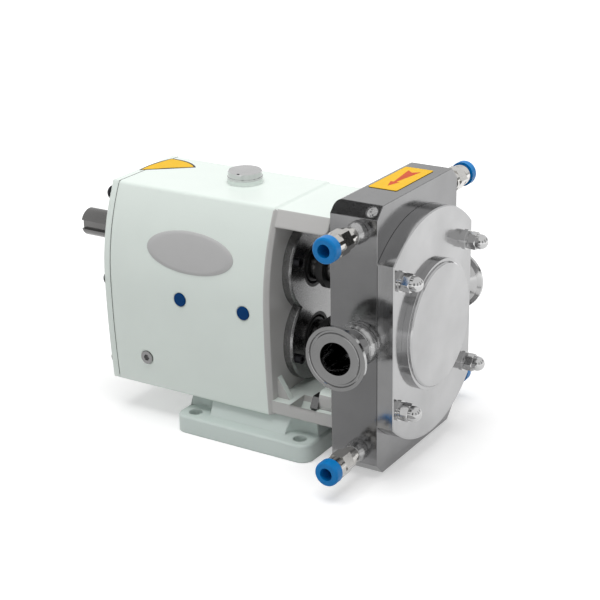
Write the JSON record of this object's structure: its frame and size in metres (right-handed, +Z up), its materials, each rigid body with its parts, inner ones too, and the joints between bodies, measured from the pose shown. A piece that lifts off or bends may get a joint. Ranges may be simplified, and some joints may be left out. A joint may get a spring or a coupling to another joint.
{
  "type": "rotary lobe pump",
  "caption": "Jacketed rotary lobe pump with clamp ports, hose fittings, domed nuts and a truncated round cover, on a painted timing gearbox with open lantern, foot and keyed input shaft.",
  "frame": {"origin": "centre of the foot's four bolt holes, on the base plane", "axes": "+Z up, the front cover faces -Y, the drive shaft leaves towards +Y, ports along X"},
  "size_m": [0.228, 0.3556, 0.219],
  "materials": {
    "gearbox_paint": "pale mint enamel on cast iron",
    "foot_paint": "pale green enamel on cast iron",
    "casing_steel": "satin machined stainless steel",
    "cover_steel": "polished stainless steel",
    "port_steel": "polished stainless tube",
    "fitting_nickel": "nickel plated brass",
    "fastener_steel": "bright stainless fasteners",
    "black_screw": "black oxide",
    "collar_blue": "blue moulded plastic",
    "plug_blue": "blue moulded plastic",
    "shaft_steel": "turned steel, lightly oiled",
    "gear_steel": "hardened steel",
    "bearing_steel": "ground bearing steel",
    "rotor_steel": "fine machined stainless steel",
    "seal_rubber": "black nitrile rubber",
    "seal_carbon": "carbon graphite",
    "flange_steel": "turned steel flange",
    "seal_housing_steel": "turned stainless steel",
    "cap_chrome": "polished plated cap"
  },
  "bodies": {
    "root": {"back_plate": "casing_steel", "bearing_cover_screws": "black_screw", "bearing_rollers": "bearing_steel", "casing_bolts": "fastener_steel", "cover_acorn_nuts": "fastener_steel", "cover_seal_ring": "seal_rubber", "cover_spring_washers": "fastener_steel", "cover_studs": "fastener_steel", "cover_washers": "fastener_steel", "drain_plug": "fastener_steel", "far_lower_fitting": "fitting_nickel", "far_port_ferrule": "port_steel", "far_upper_fitting": "fitting_nickel", "fill_cap": "cap_chrome", "foot": "foot_paint", "foot_screws": "black_screw", "front_bearing_cover": "flange_steel", "front_bearing_outer_rings": "bearing_steel", "front_cover": "cover_steel", "front_oil_seals": "seal_rubber", "gearbox_housing": "gearbox_paint", "jacket_corner_plug": "fastener_steel", "jacket_plate": "cover_steel", "near_lower_fitting": "fitting_nickel", "near_port_ferrule": "port_steel", "near_upper_fitting": "fitting_nickel", "pump_casing": "casing_steel", "rear_bearing_outer_rings": "bearing_steel", "rear_cover": "gearbox_paint", "rear_cover_screws": "black_screw", "rear_oil_seal": "seal_rubber", "seal_housings": "seal_housing_steel", "seal_stationary_rings": "seal_carbon", "side_plugs": "plug_blue"},
    "drive_train": {"drive_bearing_inner_rings": "bearing_steel", "drive_gear": "gear_steel", "drive_gear_spacer": "shaft_steel", "drive_keys": "gear_steel", "drive_locknut": "gear_steel", "drive_rotor": "rotor_steel", "drive_rotor_nut": "rotor_steel", "drive_seal_rotary_ring": "seal_housing_steel", "drive_shaft": "shaft_steel", "drive_slinger": "seal_rubber"},
    "driven_train": {"driven_bearing_inner_rings": "bearing_steel", "driven_gear": "gear_steel", "driven_gear_spacer": "shaft_steel", "driven_keys": "gear_steel", "driven_locknut": "gear_steel", "driven_rotor": "rotor_steel", "driven_rotor_nut": "rotor_steel", "driven_seal_rotary_ring": "seal_housing_steel", "driven_shaft": "shaft_steel", "driven_slinger": "seal_rubber"},
    "near_upper_release": {"near_upper_collar": "collar_blue"},
    "near_lower_release": {"near_lower_collar": "collar_blue"},
    "far_upper_release": {"far_upper_collar": "collar_blue"},
    "far_lower_release": {"far_lower_collar": "collar_blue"}
  },
  "joints": [
    {"name": "drive_spin", "type": "hinge", "parent": "root", "child": "drive_train", "pos_m": [0, 0, 0.141], "axis": [0, 1, 0], "continuous": true},
    {"name": "driven_spin", "type": "hinge", "parent": "root", "child": "driven_train", "pos_m": [0, 0, 0.081], "axis": [0, 1, 0], "continuous": true},
    {"name": "near_upper_release_slide", "type": "slide", "parent": "root", "child": "near_upper_release", "axis": [1, 0, 0], "range_m": [0, 0.0015], "stiffness_N_per_m": 200},
    {"name": "near_lower_release_slide", "type": "slide", "parent": "root", "child": "near_lower_release", "axis": [1, 0, 0], "range_m": [0, 0.0015], "stiffness_N_per_m": 200},
    {"name": "far_upper_release_slide", "type": "slide", "parent": "root", "child": "far_upper_release", "axis": [-1, 0, 0], "range_m": [0, 0.0015], "stiffness_N_per_m": 200},
    {"name": "far_lower_release_slide", "type": "slide", "parent": "root", "child": "far_lower_release", "axis": [-1, 0, 0], "range_m": [0, 0.0015], "stiffness_N_per_m": 200}
  ],
  "couplings": [
    {"joint": "driven_spin", "follows": "drive_spin", "ratio": -1}
  ]
}
